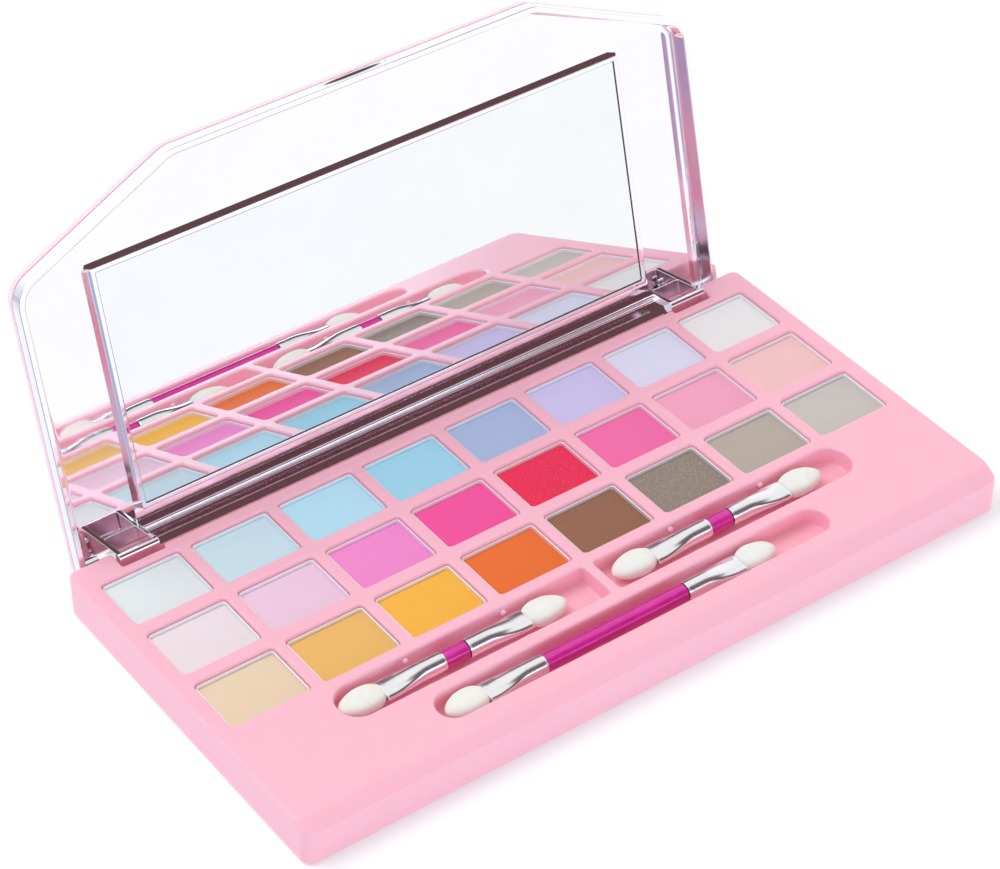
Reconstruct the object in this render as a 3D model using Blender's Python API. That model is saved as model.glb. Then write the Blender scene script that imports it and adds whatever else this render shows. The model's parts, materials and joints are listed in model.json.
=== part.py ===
"""Hinged eyeshadow palette with twenty-four pans and three sponge applicators.

A pink moulded casing carries three rows of eight pans and three wells.  A lid
with a mirrored inner frame turns on two short pins at the rear of the casing.
Metres, +Z up, X along the hinge, front towards -Y.  The origin is the centre
of the underside of the casing.  The lid is modelled closed about its hinge
axis and is turned open by the angle of its axis empty.
"""
import math

import bmesh
import bpy
from mathutils import Vector

MM = 0.001

# casing
BASE_HX = 90.6            # half width
BASE_FRONT = -46.2
BASE_REAR = 45.4
BASE_H = 10.5             # height of the deck
WALL = 1.8
DECK_T = 1.8
CORNER_R = 3.6
CHAMFER_RUN = 3.7         # front slope, along Y
CHAMFER_DROP = 2.0        # front slope, along Z
PLATE_T = 1.5
GAP = 0.3                 # between separate pieces

# pans
COLS, ROWS = 8, 3
PITCH_X, PITCH_Y = 22.0, 18.55
ROW_Y0 = 30.8             # centre of the rear row
CELL_X, CELL_Y, CELL_R = 19.3, 15.2, 0.9
PAN_X, PAN_Y, PAN_WALL = 18.9, 14.8, 0.4
PAN_RIM_Z = 10.0
PAN_FLOOR_Z, PAN_FLOOR_T = 5.6, 0.5
FLANGE_TOP_Z, FLANGE_T = 8.4, 0.8
FLANGE_HX, FLANGE_HY = 88.2, 8.3
CAKE_GAP = 0.2
CAKE_TOP_Z = 9.2

# wells: x0, x1, y0, y1, radius at the left end, radius at the right end
WELLS = {
    "rear_left": (-66.5, -1.3, -26.9, -16.8, 4.6, 0.7),
    "rear_right": (1.1, 67.3, -26.9, -16.8, 0.7, 4.6),
    "front": (-50.8, 50.6, -38.4, -30.2, 3.9, 3.9),
}
WELL_FLOOR_Z = 5.9
WELL_WALL = 1.2
NUB_R, NUB_OUT, NUB_Z = 0.7, 1.0, 8.8
NUBS_REAR_LEFT, NUBS_REAR_RIGHT = (-47.0, -22.3), (22.0, 46.8)

# hinge
AXIS_Y, AXIS_Z = 44.0, 8.3
OPEN_DEG = 103.0
NOTCH_HX, NOTCH_Y, NOTCH_Z = 79.6, 41.7, 5.2
LUG_X0, LUG_X1 = 69.3, 79.2
LUG_POCKET_Y = 40.5
PIN_R, PIN_HOLE_R = 0.8, 1.1
PIN_X0, PIN_X1 = 77.2, 86.4
BARREL_R = 2.1

# lid, in its own closed frame about the hinge axis
LID_HX, LID_REAR, LID_BEND, LID_FAR, LID_FAR_HX = 86.5, 2.2, -66.6, -83.9, 46.4
RIM_Z, SEAM_Z, LINER_TOP, COVER_TOP = 2.5, 5.8, 7.55, 8.6
COVER_SKIRT, COVER_T = 1.3, 0.8
RIM_WALL = 1.5
LID_FLOOR = 7.0
MIRROR_HX, MIRROR_HY, MIRROR_Y, MIRROR_T = 67.15, 27.65, -35.15, 1.0
MIRROR_Z = 5.72
BEZEL_Z, BEZEL_EDGE, BEZEL_FOOT_X, BEZEL_FOOT_Y = 5.35, 1.1, 2.2, 1.4
SCOOP_HALF, SCOOP_DEEP, SCOOP_Z0, SCOOP_Z1 = 7.7, 0.8, 3.4, 5.0

# applicators: centre x, centre y, handle length, ferrule length, tip length
APPLICATORS = {
    "short_left": (-37.7, -21.4, 5.6, 15.5, 10.2),
    "short_right": (31.9, -21.2, 5.6, 15.5, 10.2),
    "long": (-6.1, -34.3, 36.4, 15.2, 9.4),
}
APP_Z = 8.5
HANDLE_R, SPIGOT_R, SPIGOT_L = 2.05, 1.45, 6.0
FERRULE_R, FERRULE_T = 2.2, 0.4
FERRULE_END_Y, FERRULE_END_Z = 3.0, 1.15
TIP_HY, TIP_HZ = 3.5, 2.3
STEM_HY, STEM_HZ, STEM_L = 2.3, 0.42, 3.0

COLORS = {
    "pink_plastic": ((0.91, 0.47, 0.58), 0.30, 0.0),
    "lid_pink": ((0.92, 0.58, 0.70), 0.22, 0.0),
    "chrome": ((0.86, 0.80, 0.84), 0.08, 1.0),
    "mirror": ((0.95, 0.95, 0.96), 0.02, 1.0),
    "steel": ((0.62, 0.62, 0.64), 0.25, 1.0),
    "pan_metal": ((0.78, 0.77, 0.78), 0.25, 1.0),
    "ferrule": ((0.80, 0.81, 0.83), 0.18, 1.0),
    "magenta": ((0.72, 0.02, 0.33), 0.20, 0.0),
    "sponge": ((0.90, 0.88, 0.80), 0.90, 0.0),
}
POWDERS = (
    (("mint_white", (0.66, 0.74, 0.74)), ("pale_blue", (0.45, 0.64, 0.74)),
     ("sky_blue", (0.25, 0.58, 0.77)), ("turquoise", (0.16, 0.57, 0.72)),
     ("periwinkle", (0.26, 0.36, 0.66)), ("lavender", (0.48, 0.44, 0.80)),
     ("light_lavender", (0.56, 0.55, 0.86)), ("silver_white", (0.68, 0.66, 0.68))),
    (("blush_white", (0.76, 0.60, 0.65)), ("lilac_pink", (0.73, 0.50, 0.71)),
     ("orchid", (0.83, 0.19, 0.62)), ("hot_pink", (0.84, 0.06, 0.34)),
     ("red", (0.62, 0.01, 0.07)), ("bright_pink", (0.90, 0.09, 0.34)),
     ("soft_pink", (0.91, 0.20, 0.45)), ("peach", (0.90, 0.33, 0.33))),
    (("beige", (0.78, 0.50, 0.25)), ("ochre", (0.73, 0.37, 0.08)),
     ("amber", (0.90, 0.37, 0.02)), ("orange", (0.80, 0.15, 0.01)),
     ("brown", (0.20, 0.08, 0.05)), ("dark_taupe", (0.14, 0.11, 0.10)),
     ("taupe", (0.27, 0.23, 0.20)), ("grey_beige", (0.34, 0.31, 0.27))),
)


def clear_scene():
    """Start from an empty scene."""
    for obj in list(bpy.data.objects):
        bpy.data.objects.remove(obj, do_unlink=True)
    for mesh in list(bpy.data.meshes):
        bpy.data.meshes.remove(mesh)


def material(name, color, roughness, metallic):
    """A Principled material, made once."""
    mat = bpy.data.materials.get(name)
    if mat is None:
        mat = bpy.data.materials.new(name)
        mat.use_nodes = True
        shader = mat.node_tree.nodes["Principled BSDF"]
        shader.inputs["Base Color"].default_value = (*color, 1.0)
        shader.inputs["Roughness"].default_value = roughness
        shader.inputs["Metallic"].default_value = metallic
        mat.diffuse_color = (*color, 1.0)
    return mat


def finish(name, bm, mat=None, parent=None):
    """Turn a bmesh in millimetres into a named object in metres."""
    bmesh.ops.recalc_face_normals(bm, faces=bm.faces)
    bmesh.ops.scale(bm, vec=(MM, MM, MM), verts=bm.verts)
    mesh = bpy.data.meshes.new(name)
    bm.to_mesh(mesh)
    bm.free()
    obj = bpy.data.objects.new(name, mesh)
    bpy.context.collection.objects.link(obj)
    if mat:
        obj.data.materials.append(material(mat, *COLORS[mat]))
    if parent:
        obj.parent = parent
    mesh.shade_smooth()
    mesh.set_sharp_from_angle(angle=math.radians(35))
    return obj


def offset_polygon(points, inset):
    """Move every side of a convex counter-clockwise polygon inwards."""
    count = len(points)
    lines = []
    for i in range(count):
        a, b = Vector(points[i]), Vector(points[(i + 1) % count])
        along = (b - a).normalized()
        inward = Vector((-along.y, along.x))
        lines.append((a + inward * inset, along))
    result = []
    for i in range(count):
        (p, d), (q, e) = lines[i - 1], lines[i]
        t = (q - p).cross(e) / d.cross(e)
        result.append(tuple(p + d * t))
    return result


def round_corners(points, radii, steps):
    """Replace each corner of a convex polygon by an arc of the given radius."""
    count = len(points)
    out = []
    for i in range(count):
        prev, here, after = (Vector(points[(i + k) % count]) for k in (-1, 0, 1))
        u, v = (prev - here).normalized(), (after - here).normalized()
        half = u.angle(v) / 2
        r = max(radii[i], 0.02)
        centre = here + (u + v).normalized() * (r / math.sin(half))
        start = here + u * (r / math.tan(half)) - centre
        stop = here + v * (r / math.tan(half)) - centre
        a0 = math.atan2(start.y, start.x)
        turn = math.atan2(start.cross(stop), start.dot(stop))
        for k in range(steps + 1):
            a = a0 + turn * k / steps
            out.append((centre.x + r * math.cos(a), centre.y + r * math.sin(a)))
    return out


def rect(x0, x1, y0, y1):
    """Counter-clockwise rectangle: front left, front right, rear right, rear left."""
    return [(x0, y0), (x1, y0), (x1, y1), (x0, y1)]


def loft(bm, rings, cap_first=True, cap_last=True):
    """Join rings of equal length by quads and cap the two ends."""
    loops = [[bm.verts.new(p) for p in ring] for ring in rings]
    count = len(loops[0])
    for low, high in zip(loops, loops[1:]):
        for i in range(count):
            j = (i + 1) % count
            bm.faces.new((low[i], low[j], high[j], high[i]))
    if cap_first:
        bm.faces.new(list(reversed(loops[0])))
    if cap_last:
        bm.faces.new(loops[-1])
    return loops


def prism(bm, outline, z0, z1):
    """Extrude a closed outline between two heights."""
    loft(bm, [[(x, y, z) for x, y in outline] for z in (z0, z1)])


def rounded_box(bm, x0, x1, y0, y1, z0, z1, r=0.0, steps=1):
    """A box with rounded vertical edges."""
    outline = rect(x0, x1, y0, y1)
    if r > 0:
        outline = round_corners(outline, [r] * 4, steps)
    prism(bm, outline, z0, z1)


def rod(bm, x0, x1, y, z, r, sides=20):
    """A cylinder along X."""
    loft(bm, [[(x, y + r * math.cos(a), z + r * math.sin(a))
               for a in (2 * math.pi * k / sides for k in range(sides))]
              for x in (x0, x1)])


def profile_bar(bm, profile, x0, x1):
    """Extrude a closed profile of (y, z) points along X."""
    loft(bm, [[(x, y, z) for y, z in profile] for x in (x0, x1)])


def boolean(target, bm, operation):
    """Combine the target with the closed bodies of a bmesh."""
    cutter = finish(target.name + "_cutter", bm)
    cutter.hide_render = True
    cutter.display_type = "WIRE"
    cutter.parent = target.parent
    mod = target.modifiers.new(operation.lower(), "BOOLEAN")
    mod.operation = operation
    mod.solver = "EXACT"
    mod.object = cutter
    return cutter


def casing_ring(z, inset_front, inset_side):
    """Outline of the casing at one height."""
    x = BASE_HX - inset_side
    pts = rect(-x, x, BASE_FRONT + inset_front, BASE_REAR - inset_side)
    r = max(CORNER_R - inset_side, 0.5)
    rear = max(2.0 - inset_side, 0.3)
    return [(px, py, z) for px, py in round_corners(pts, [r, r, rear, rear], 5)]


def well_outline(spec, grow=0.0):
    """Outline of a well, with its two end radii."""
    x0, x1, y0, y1, left, right = spec
    pts = rect(x0 - grow, x1 + grow, y0 - grow, y1 + grow)
    return round_corners(pts, [left + grow, right + grow, right + grow, left + grow], 6)


def make_casing():
    """Deck, walls, pan openings, wells and the hinge recess in one moulding."""
    low = BASE_H - CHAMFER_DROP
    bm = bmesh.new()
    loft(bm, [casing_ring(0.0, 0.0, 0.4), casing_ring(0.5, 0.0, 0.0),
              casing_ring(low - 0.3, 0.0, 0.0), casing_ring(low + 0.2, 0.4, 0.0),
              casing_ring(BASE_H - 0.9, CHAMFER_RUN - 0.9, 0.0),
              casing_ring(BASE_H - 0.3, CHAMFER_RUN - 0.2, 0.3),
              casing_ring(BASE_H, CHAMFER_RUN + 0.5, 1.0)])
    casing = finish("casing", bm, "pink_plastic")

    hollow = bmesh.new()
    inner = BASE_HX - WALL
    ring = []
    for z, front in ((-1.0, WALL), (low - 1.2, WALL), (BASE_H - DECK_T, CHAMFER_RUN + 0.9)):
        pts = rect(-inner, inner, BASE_FRONT + front, BASE_REAR - WALL)
        ring.append([(x, y, z) for x, y in round_corners(pts, [1.6] * 4, 3)])
    loft(hollow, ring)
    boolean(casing, hollow, "DIFFERENCE")

    solid = bmesh.new()
    left, right = WELLS["rear_left"], WELLS["rear_right"]
    pair = (left[0], right[1], left[2], left[3], left[4], right[5])
    for spec in (pair, WELLS["front"]):
        prism(solid, well_outline(spec, WELL_WALL), WELL_FLOOR_Z - WELL_WALL, BASE_H - 0.6)
    rounded_box(solid, -inner - 0.4, inner + 0.4, 39.4, BASE_REAR - 0.6, 2.9, BASE_H - 0.9)
    boolean(casing, solid, "UNION")

    cut = bmesh.new()
    for spec in WELLS.values():
        prism(cut, well_outline(spec), WELL_FLOOR_Z, BASE_H + 1)
    for row in range(ROWS):
        for col in range(COLS):
            x, y = pan_centre(row, col)
            rounded_box(cut, x - CELL_X / 2, x + CELL_X / 2, y - CELL_Y / 2, y + CELL_Y / 2,
                        BASE_H - DECK_T - 1, BASE_H + 1, CELL_R)
    boolean(casing, cut, "DIFFERENCE")

    recess = bmesh.new()
    pocket = LUG_X0 - GAP - 0.1
    prism(recess, [(-NOTCH_HX, LUG_POCKET_Y), (-pocket, LUG_POCKET_Y), (-pocket, NOTCH_Y),
                   (pocket, NOTCH_Y), (pocket, LUG_POCKET_Y), (NOTCH_HX, LUG_POCKET_Y),
                   (NOTCH_HX, BASE_REAR + 2), (-NOTCH_HX, BASE_REAR + 2)], NOTCH_Z, BASE_H + 2)
    boolean(casing, recess, "DIFFERENCE")

    holes = bmesh.new()
    for side in (-1, 1):
        rod(holes, *sorted((side * (NOTCH_HX - 0.6), side * (PIN_X1 + GAP))),
            AXIS_Y, AXIS_Z, PIN_HOLE_R, 16)
    boolean(casing, holes, "DIFFERENCE")

    nubs = bmesh.new()
    for key, places in (("rear_left", NUBS_REAR_LEFT), ("rear_right", NUBS_REAR_RIGHT)):
        y0, y1 = WELLS[key][2], WELLS[key][3]
        for x in places:
            for wall, out in ((y1, -1), (y0, 1)):
                ends = sorted((wall - out * 0.5, wall + out * NUB_OUT))
                loft(nubs, [[(x + NUB_R * math.cos(a), y, NUB_Z + NUB_R * math.sin(a))
                             for a in (-2 * math.pi * k / 10 for k in range(10))]
                            for y in ends])
    boolean(casing, nubs, "UNION")
    return casing


def make_plate():
    """Flat plate that closes the underside."""
    bm = bmesh.new()
    hx = BASE_HX - WALL - GAP
    rounded_box(bm, -hx, hx, BASE_FRONT + WALL + GAP, BASE_REAR - WALL - GAP, 0.0, PLATE_T, 1.4)
    return finish("base_plate", bm, "pink_plastic")


def pan_centre(row, col):
    """Centre of one pan."""
    return (col - (COLS - 1) / 2) * PITCH_X, ROW_Y0 - row * PITCH_Y


def make_pan_strip(row, name):
    """Eight cups joined by a flange that sits under the deck."""
    y = pan_centre(row, 0)[1]
    bm = bmesh.new()
    rounded_box(bm, -FLANGE_HX, FLANGE_HX, y - FLANGE_HY, y + FLANGE_HY,
                FLANGE_TOP_Z - FLANGE_T, FLANGE_TOP_Z)
    strip = finish(name, bm, "pan_metal")
    cups, hollows = bmesh.new(), bmesh.new()
    for col in range(COLS):
        x = pan_centre(row, col)[0]
        hx, hy = PAN_X / 2, PAN_Y / 2
        rounded_box(cups, x - hx, x + hx, y - hy, y + hy, PAN_FLOOR_Z - PAN_FLOOR_T,
                    PAN_RIM_Z, 0.8)
        hx, hy = hx - PAN_WALL, hy - PAN_WALL
        rounded_box(hollows, x - hx, x + hx, y - hy, y + hy, PAN_FLOOR_Z, PAN_RIM_Z + 1, 0.5)
    boolean(strip, cups, "UNION")
    boolean(strip, hollows, "DIFFERENCE")
    return strip


def make_cake(row, col):
    """One pressed powder block with a softened top edge."""
    name, color = POWDERS[row][col]
    x, y = pan_centre(row, col)
    hx = PAN_X / 2 - PAN_WALL - CAKE_GAP
    hy = PAN_Y / 2 - PAN_WALL - CAKE_GAP
    bm = bmesh.new()
    rings = []
    for z, inset in ((PAN_FLOOR_Z + CAKE_GAP, 0.0), (CAKE_TOP_Z - 0.3, 0.0), (CAKE_TOP_Z, 0.3)):
        pts = rect(x - hx + inset, x + hx - inset, y - hy + inset, y + hy - inset)
        rings.append([(px, py, z) for px, py in round_corners(pts, [0.45] * 4, 1)])
    loft(bm, rings)
    cake = finish("powder_" + name, bm)
    cake.data.materials.append(material("powder_" + name, color, 0.85, 0.0))
    return cake


def lid_ring(z, inset):
    """Six-sided lid outline at one height, in the closed lid's frame."""
    pts = [(-LID_HX, LID_REAR), (-LID_HX, LID_BEND), (-LID_FAR_HX, LID_FAR),
           (LID_FAR_HX, LID_FAR), (LID_HX, LID_BEND), (LID_HX, LID_REAR)]
    pts = offset_polygon(pts, inset)
    radii = [max(r - inset, 0.4) for r in (1.2, 7.0, 7.0, 7.0, 7.0, 1.2)]
    return [(x, y, z) for x, y in round_corners(pts, radii, 5)]


def make_cover(axis):
    """Outer shell of the lid."""
    bm = bmesh.new()
    loft(bm, [lid_ring(SEAM_Z + 0.2, 0.0), lid_ring(COVER_TOP - 1.2, 0.0),
              lid_ring(COVER_TOP - 0.35, 0.35), lid_ring(COVER_TOP, 1.2)])
    cover = finish("lid_cover", bm, "lid_pink", axis)
    hollow = bmesh.new()
    loft(hollow, [lid_ring(SEAM_Z - 1, COVER_SKIRT), lid_ring(COVER_TOP - COVER_T, COVER_SKIRT)])
    boolean(cover, hollow, "DIFFERENCE")
    return cover


def arc(cy, cz, r, a0, a1, steps):
    """Points of an arc in the (y, z) plane, angles in degrees."""
    return [(cy + r * math.cos(math.radians(a0 + (a1 - a0) * k / steps)),
             cz + r * math.sin(math.radians(a0 + (a1 - a0) * k / steps)))
            for k in range(steps + 1)]


def make_liner(axis):
    """Metallised inner frame: rim, bezel, hinge wall and two open lugs."""
    bm = bmesh.new()
    step = COVER_SKIRT + GAP
    loft(bm, [lid_ring(RIM_Z, 0.3), lid_ring(RIM_Z + 0.3, 0.0), lid_ring(SEAM_Z - 0.1, 0.0),
              lid_ring(SEAM_Z - 0.1, step), lid_ring(LINER_TOP, step)])
    liner = finish("lid_liner", bm, "chrome", axis)

    hollow = bmesh.new()
    loft(hollow, [lid_ring(RIM_Z - 1, RIM_WALL), lid_ring(RIM_Z + 1.8, RIM_WALL),
                  lid_ring(LID_FLOOR, RIM_WALL + 1.7)])
    boolean(liner, hollow, "DIFFERENCE")

    shoulder = [(BARREL_R, SEAM_Z - 0.2), (0.5, SEAM_Z - 0.2), (0.5, LID_FLOOR + 0.3)]
    solid = bmesh.new()
    rings = []
    for z, gx, gy in ((BEZEL_Z, BEZEL_EDGE, BEZEL_EDGE),
                      (LID_FLOOR + 0.1, BEZEL_FOOT_X, BEZEL_FOOT_Y)):
        pts = rect(-MIRROR_HX - gx, MIRROR_HX + gx,
                   MIRROR_Y - MIRROR_HY - gy, MIRROR_Y + MIRROR_HY + gy)
        rings.append([(x, y, z) for x, y in round_corners(pts, [0.8] * 4, 2)])
    loft(solid, rings)
    profile_bar(solid, arc(0, 0, BARREL_R, 180, 360, 8)
                + shoulder + [(-BARREL_R, LID_FLOOR + 0.3)],
                -LUG_X0 - 0.4, LUG_X0 + 0.4)
    boolean(liner, solid, "UNION")

    lugs = bmesh.new()
    for side in (-1, 1):
        profile_bar(lugs, arc(-1.7, -1.0, 1.2, 180, 270, 3) + arc(1.1, -1.2, 1.0, 270, 360, 3)
                    + shoulder + [(-2.9, LID_FLOOR + 0.3)],
                    *sorted((side * LUG_X0, side * LUG_X1)))
    boolean(liner, lugs, "UNION")

    cut = bmesh.new()
    rounded_box(cut, -MIRROR_HX - 0.2, MIRROR_HX + 0.2, MIRROR_Y - MIRROR_HY - 0.2,
                MIRROR_Y + MIRROR_HY + 0.2, BEZEL_Z - 1, MIRROR_Z + MIRROR_T + 0.25)
    for side in (-1, 1):
        rounded_box(cut, *sorted((side * (LUG_X0 + 1.2), side * (LUG_X1 - 1.2))),
                    -4.0, 1.25, -1.1, 5.8)
    boolean(liner, cut, "DIFFERENCE")

    fine = bmesh.new()
    for side in (-1, 1):
        rod(fine, *sorted((side * (LUG_X1 - 1.8), side * (LUG_X1 + 1))), 0, 0, PIN_HOLE_R, 16)
    r = (SCOOP_HALF ** 2 + SCOOP_DEEP ** 2) / (2 * SCOOP_DEEP)
    half = math.degrees(math.asin(SCOOP_HALF / r)) + 1
    prism(fine, arc(0, LID_FAR + SCOOP_DEEP - r, r, 90 - half, 90 + half, 12),
          SCOOP_Z0, SCOOP_Z1)
    boolean(liner, fine, "DIFFERENCE")
    return liner


def make_mirror(axis):
    """Glass set into the bezel."""
    bm = bmesh.new()
    rounded_box(bm, -MIRROR_HX, MIRROR_HX, MIRROR_Y - MIRROR_HY, MIRROR_Y + MIRROR_HY,
                MIRROR_Z, MIRROR_Z + MIRROR_T)
    return finish("mirror", bm, "mirror", axis)


def make_pin(side, name):
    """Steel stub that carries one lug."""
    bm = bmesh.new()
    rod(bm, *sorted((side * PIN_X0, side * PIN_X1)), AXIS_Y, AXIS_Z, PIN_R, 16)
    return finish(name, bm, "steel")


def ellipse(x, ry, rz, sides):
    """Ellipse in the plane across an applicator."""
    return [(x, ry * math.cos(a), rz * math.sin(a))
            for a in (2 * math.pi * k / sides for k in range(sides))]


def make_applicator(name, spec):
    """Handle, two ferrules and two sponge tips on one axis."""
    cx, cy, handle_l, ferrule_l, tip_l = spec
    frame = bpy.data.objects.new("applicator_%s_origin" % name, None)
    frame.location = (cx * MM, cy * MM, APP_Z * MM)
    bpy.context.collection.objects.link(frame)
    half = handle_l / 2

    bm = bmesh.new()
    end = half + SPIGOT_L
    stations = [(-end, SPIGOT_R - 0.3), (-end + 0.3, SPIGOT_R), (-half, SPIGOT_R),
                (-half, HANDLE_R - 0.15), (-half + 0.15, HANDLE_R)]
    stations += [(-x, r) for x, r in reversed(stations)]
    loft(bm, [ellipse(x, r, r, 16) for x, r in stations])
    finish("handle_" + name, bm, "magenta", frame)

    for side, word in ((-1, "left"), (1, "right")):
        x0 = half + 0.2
        x1 = half + ferrule_l
        bm = bmesh.new()
        outer, inner = [], []
        for t in (0.0, 0.4, 0.6, 0.8, 1.0):
            x = x0 + (x1 - x0) * t
            s = min(max((t - 0.4) / 0.5, 0.0), 1.0)
            s = s * s * (3 - 2 * s)
            ry = FERRULE_R + (FERRULE_END_Y - FERRULE_R) * s
            rz = FERRULE_R + (FERRULE_END_Z - FERRULE_R) * s
            outer.append((side * x, ry, rz))
            inner.append((side * x, ry - FERRULE_T, rz - FERRULE_T))
        rings = [ellipse(*p, 16) for p in outer + list(reversed(inner))]
        loops = loft(bm, rings, False, False)
        for i in range(16):
            j = (i + 1) % 16
            bm.faces.new((loops[-1][i], loops[-1][j], loops[0][j], loops[0][i]))
        finish("ferrule_%s_%s" % (name, word), bm, "ferrule", frame)

        bm = bmesh.new()
        start, stop = x1 + 0.25, x1 + tip_l
        rings = [ellipse(side * (start - STEM_L), STEM_HY - 0.3, STEM_HZ, 12),
                 ellipse(side * start, STEM_HY, STEM_HZ, 12)]
        for k in range(7):
            t = k / 6
            a = math.radians(28 + 152 * t)
            x = start + (stop - start) * (math.cos(math.radians(28)) - math.cos(a)) \
                / (1 + math.cos(math.radians(28)))
            w = max(math.sin(a), 0.0) ** 0.85
            if k == 6:
                w = 0.06
            rings.append(ellipse(side * x, TIP_HY * w, TIP_HZ * w, 12))
        loft(bm, rings)
        finish("sponge_%s_%s" % (name, word), bm, "sponge", frame)


def build():
    """Make every piece of the palette."""
    clear_scene()
    make_casing()
    make_plate()
    for row, word in enumerate(("rear", "middle", "front")):
        make_pan_strip(row, "pan_strip_" + word)
        for col in range(COLS):
            make_cake(row, col)
    axis = bpy.data.objects.new("lid_axis", None)
    axis.location = (0.0, AXIS_Y * MM, AXIS_Z * MM)
    axis.rotation_euler = (-math.radians(OPEN_DEG), 0.0, 0.0)
    bpy.context.collection.objects.link(axis)
    make_cover(axis)
    make_liner(axis)
    make_mirror(axis)
    make_pin(-1, "hinge_pin_left")
    make_pin(1, "hinge_pin_right")
    for name, spec in APPLICATORS.items():
        make_applicator(name, spec)


build()
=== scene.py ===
"""Looks of a hinged eyeshadow palette: meshes, materials, light and camera around its frame.

Sizes are in millimetres, in the frame of the CAD model, until a piece is finished in metres.
"""
import json
import math

import bmesh
import bpy
from mathutils import Matrix, Vector, geometry, noise


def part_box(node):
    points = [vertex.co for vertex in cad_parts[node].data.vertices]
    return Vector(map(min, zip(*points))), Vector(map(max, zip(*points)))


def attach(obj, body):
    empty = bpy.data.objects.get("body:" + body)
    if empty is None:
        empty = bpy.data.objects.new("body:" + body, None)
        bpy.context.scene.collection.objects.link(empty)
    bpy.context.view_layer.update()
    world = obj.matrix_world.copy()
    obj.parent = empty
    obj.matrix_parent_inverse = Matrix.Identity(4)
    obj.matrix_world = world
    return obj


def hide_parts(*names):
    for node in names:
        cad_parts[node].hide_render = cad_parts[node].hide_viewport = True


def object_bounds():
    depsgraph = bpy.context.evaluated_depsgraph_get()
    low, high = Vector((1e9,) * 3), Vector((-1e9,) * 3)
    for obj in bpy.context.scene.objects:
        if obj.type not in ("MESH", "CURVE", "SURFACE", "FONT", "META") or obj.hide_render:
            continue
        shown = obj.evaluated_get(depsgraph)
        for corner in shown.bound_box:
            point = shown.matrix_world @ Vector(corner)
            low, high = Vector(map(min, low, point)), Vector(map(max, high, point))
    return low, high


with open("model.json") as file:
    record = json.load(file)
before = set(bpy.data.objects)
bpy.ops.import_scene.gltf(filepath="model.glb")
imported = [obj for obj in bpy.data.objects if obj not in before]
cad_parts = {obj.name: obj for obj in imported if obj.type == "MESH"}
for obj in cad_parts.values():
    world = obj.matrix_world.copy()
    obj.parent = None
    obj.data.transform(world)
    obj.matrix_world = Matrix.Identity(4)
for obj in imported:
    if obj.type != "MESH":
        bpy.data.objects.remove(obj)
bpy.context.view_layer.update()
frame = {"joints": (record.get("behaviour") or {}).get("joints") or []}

MM = 0.001


def size_of(node):
    """Lowest and highest corner of a CAD node, in millimetres."""
    low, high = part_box(node)
    return low / MM, high / MM


def joint_of(name):
    """The record's entry for a joint."""
    return next(j for j in frame["joints"] if j["name"] == name)


# casing
CASE_LOW, CASE_HIGH = size_of("casing")
CASE_HX, CASE_FRONT, CASE_REAR, DECK_Z = CASE_HIGH.x, CASE_LOW.y, CASE_HIGH.y, CASE_HIGH.z
CASE_WALL = 1.8
DECK_UNDER_Z = 8.7
SLOPE_RUN, SLOPE_DROP = 3.7, 2.0
FRONT_CREASE, DECK_CREASE = 0.55, 1.1       # reach of the soft folds below and above the slope
CORNER_FRONT, CORNER_REAR, CORNER_STEPS = 2.4, 2.0, 6
FRONT_CORNERS, RECESS_CORNERS = 3, 8        # of the deck outline, before and round the recess
RECESS_HX, RECESS_Y, RECESS_Z = 79.6, 41.7, 5.2
RECESS_RADII = [0.6, 0.6, 0.5, 0.5]
POCKET_X, POCKET_Y = 68.9, 40.5             # the recess is deeper where the lugs turn
BLOCK_Y, BLOCK_Z = 39.4, 2.9                # the solid part that carries the hinge
HOLLOW_R, HAUNCH_Z, HAUNCH_RUN = 1.6, 7.3, 0.9
EDGE_R = 0.55
SUPPORT = 0.14                              # flat band beside an edge, for even shading
LEAST_R = 0.03                              # least radius of a corner that is moved in
FOOT_CURVE = ((0.6, 0.0), (0.35, 0.06), (0.12, 0.2), (0.0, 0.45), (0.0, 0.6))   # height, inset
PLATE_R, PLATE_EDGE = 1.4, 0.35
CELL_HX, CELL_HY, CELL_R, CELL_EDGE = 9.63, 7.58, 1.2, 0.5
# wells: x0, x1, y0, y1, radius at the left end, radius at the right end
WELLS = {
    "rear_left": (-66.5, -1.3, -26.9, -16.8, 4.6, 1.0),
    "rear_right": (1.1, 67.3, -26.9, -16.8, 1.0, 4.6),
    "front": (-50.8, 50.6, -38.4, -30.2, 3.9, 3.9),
}
WELL_FLOOR_Z, WELL_WALL, WELL_EDGE, WELL_FOOT = 5.9, 1.2, 0.6, 0.7
NUBS = {"rear_left": (-47.0, -22.3), "rear_right": (22.0, 46.8)}
NUB_R, NUB_OUT, NUB_Z = 0.7, 1.0, 8.8
# share of a nub's reach, share of its radius there
NUB_DOME = ((-0.4, 1.0), (0.35, 1.0), (0.65, 0.92), (0.85, 0.72), (0.96, 0.42), (1.0, 0.12))

# pans
ROW_WORDS = ("rear", "middle", "front")
PAN_HX, PAN_HY, PAN_WALL, PAN_R = 9.45, 7.4, 0.32, 1.05
PAN_RIM_Z, PAN_FLOOR_Z, PAN_FLOOR_T = 9.75, 5.6, 0.5
FLANGE_TOP_Z, FLANGE_T, FLANGE_R = 8.4, 0.8, 0.6

# powder cakes
CAKE_RISE, CAKE_GAP, CAKE_R = -0.25, 0.03, 0.7      # top above the CAD block's, gap to the pan
CAKE_ACROSS, CAKE_ALONG = 16, 12
EDGE_BANDS = [0.0, 0.07, 0.16, 0.28, 0.45, 0.7]
EDGE_DROP, EDGE_RUN = 0.10, 0.4                     # worn edge: depth, distance from the side
RAGGED, RAGGED_RUN, SWELL = 0.04, 1.4, 0.02         # heights of crumbs and of slow waves

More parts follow.
